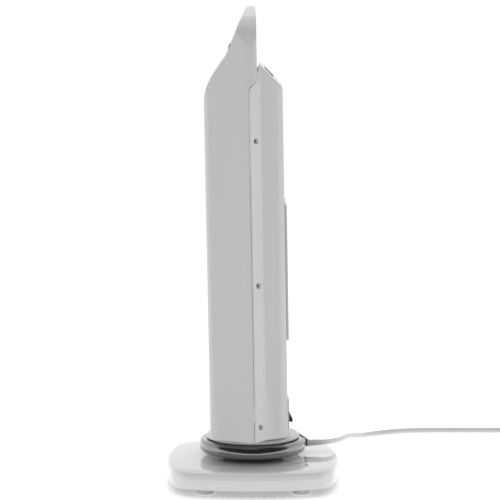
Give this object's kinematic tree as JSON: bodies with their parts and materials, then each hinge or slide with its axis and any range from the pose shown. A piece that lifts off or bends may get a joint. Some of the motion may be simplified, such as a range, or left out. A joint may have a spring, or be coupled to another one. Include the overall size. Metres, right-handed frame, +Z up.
{
  "type": "fan convector heater",
  "caption": "White tower fan heater with a tall top fin and rear shoulder, on a turntable disc and a rounded square base that swings it from side to side.",
  "frame": {"origin": "on the floor under the middle of the base", "axes": "+Z up, front faces -Y, width along X"},
  "size_m": [0.456, 0.6895, 0.6451],
  "materials": {
    "white_gloss": "glossy white moulding",
    "base_gloss": "high gloss white moulding",
    "grille_grey": "satin light grey",
    "disc_silver": "glossy silver grey",
    "window_black": "gloss black",
    "key_silver": "plated",
    "board_green": "solder mask",
    "inner_plastic": "dark heat resistant plastic",
    "heater_alloy": "bright fins",
    "steel": "zinc plated",
    "bronze": "sintered bush",
    "gear_nylon": "natural nylon",
    "iron": "rough casting",
    "foot_rubber": "light grey rubber",
    "black_rubber": "black",
    "cord_pvc": "satin pale grey sheath",
    "filter_net": "fine nylon net"
  },
  "bodies": {
    "base": {"turntable_disc": "disc_silver", "disc_neck": "inner_plastic", "swing_motor": "steel", "base_shell": "base_gloss", "base_plate": "inner_plastic", "base_screws": "steel", "ballast": "iron", "tilt_switch": "inner_plastic", "feet": "foot_rubber", "cord_cover": "white_gloss", "cord_grip": "black_rubber", "strain_relief": "cord_pvc", "cord_tube": "cord_pvc", "cord_coil": "cord_pvc", "cord_tail": "cord_pvc", "plug_body": "cord_pvc", "plug_pins": "steel"},
    "tower": {"front_shell": "white_gloss", "outlet_grille": "grille_grey", "display_window": "window_black", "control_board": "board_green", "heater_frame": "inner_plastic", "ptc_bars": "heater_alloy", "thermal_cutout": "steel", "fan_duct": "inner_plastic", "top_bearing": "bronze", "fan_motor": "steel", "rear_shell": "white_gloss", "inlet_grille": "grille_grey", "shell_screws": "steel", "switch_housing": "white_gloss", "collar": "white_gloss", "spindle": "inner_plastic", "ring_gear": "gear_nylon", "retaining_ring": "steel"},
    "fan": {"impeller": "inner_plastic", "fan_shaft": "steel"},
    "filter": {"filter_frame": "white_gloss", "filter_mesh": "filter_net"},
    "rocker": {"rocker_switch": "black_rubber"},
    "power_key": {"power_button": "key_silver"},
    "mode_key": {"mode_button": "key_silver"},
    "swing_key": {"swing_button": "key_silver"},
    "drive_pinion": {"pinion": "gear_nylon"},
    "pendulum": {"tilt_pendulum": "steel"}
  },
  "joints": [
    {"name": "swivel", "type": "hinge", "parent": "base", "child": "tower", "pos_m": [0, 0, 0.06], "axis": [0, 0, 1], "range_deg": [-35, 35]},
    {"name": "pinion_turn", "type": "hinge", "parent": "base", "child": "drive_pinion", "pos_m": [0, 0.04, 0.053], "axis": [0, 0, 1], "range_deg": [-105, 105]},
    {"name": "fan_spin", "type": "hinge", "parent": "tower", "child": "fan", "pos_m": [0, -0.00167, 0.28], "axis": [0, -0.0175, 0.9998], "continuous": true},
    {"name": "filter_pull", "type": "slide", "parent": "tower", "child": "filter", "axis": [0, 0.9998, 0.0175], "range_m": [0, 0.03]},
    {"name": "rocker_tilt", "type": "hinge", "parent": "tower", "child": "rocker", "pos_m": [0, 0.04407, 0.09477], "axis": [1, 0, 0], "range_deg": [-16, 0]},
    {"name": "pendulum_swing", "type": "hinge", "parent": "base", "child": "pendulum", "pos_m": [0, -0.066, 0.025], "axis": [0, 1, 0], "range_deg": [-20, 20]},
    {"name": "power_press", "type": "slide", "parent": "tower", "child": "power_key", "axis": [0, 0.9296, -0.3684], "range_m": [0, 0.0015], "stiffness_N_per_m": 300},
    {"name": "mode_press", "type": "slide", "parent": "tower", "child": "mode_key", "axis": [0, 0.9296, -0.3684], "range_m": [0, 0.0015], "stiffness_N_per_m": 300},
    {"name": "swing_press", "type": "slide", "parent": "tower", "child": "swing_key", "axis": [0, 0.9296, -0.3684], "range_m": [0, 0.0015], "stiffness_N_per_m": 300}
  ],
  "couplings": [
    {"joint": "pinion_turn", "follows": "swivel", "ratio": -3}
  ]
}
